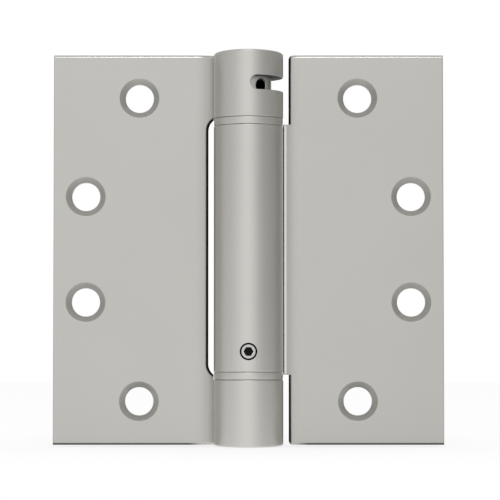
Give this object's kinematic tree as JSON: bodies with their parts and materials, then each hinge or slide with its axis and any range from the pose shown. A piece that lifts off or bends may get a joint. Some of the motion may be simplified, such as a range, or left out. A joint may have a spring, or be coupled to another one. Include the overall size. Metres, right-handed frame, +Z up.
{
  "type": "spring loaded door hinge",
  "caption": "Square-corner full-mortise door hinge in satin nickel, opened flat, with a long spring barrel, a tension window in the top knuckle and countersunk screw holes.",
  "frame": {"origin": "on the hinge axis at mid height", "axes": "+Z up the hinge axis, +X from the jamb leaf towards the door leaf when open flat, +Y from the barrel side to the mortised back"},
  "size_m": [0.1142, 0.0203, 0.1152],
  "materials": {
    "satin_nickel": "satin nickel plate over steel",
    "plated_steel": "turned steel with a thin plate",
    "bushing_nylon": "natural nylon",
    "screw_steel": "oiled alloy steel",
    "spring_steel": "oil tempered spring wire"
  },
  "bodies": {
    "jamb": {"jamb_leaf": "satin_nickel", "upper_bearing_ring": "satin_nickel", "lower_bearing_ring": "satin_nickel", "top_cap": "satin_nickel", "bottom_cap": "satin_nickel", "pivot_plug": "plated_steel", "hinge_pin": "plated_steel"},
    "door": {"door_leaf": "satin_nickel", "spring_anchor": "plated_steel", "anchor_set_screw": "screw_steel", "upper_bushing": "bushing_nylon", "lower_bushing": "bushing_nylon", "torsion_spring": "spring_steel"},
    "tension": {"tension_spindle": "plated_steel"}
  },
  "joints": [
    {"name": "leaf_swing", "type": "hinge", "parent": "jamb", "child": "door", "pos_m": [0, 0, 0], "axis": [0, 0, -1], "range_deg": [0, 180], "stiffness_Nm_per_rad": 1.2, "springref_deg": 180, "deforming": ["torsion_spring"]},
    {"name": "tension_adjust", "type": "hinge", "parent": "jamb", "child": "tension", "pos_m": [0, 0, 0.0475], "axis": [0, 0, -1], "range_deg": [0, 270], "deforming": ["torsion_spring"]}
  ]
}
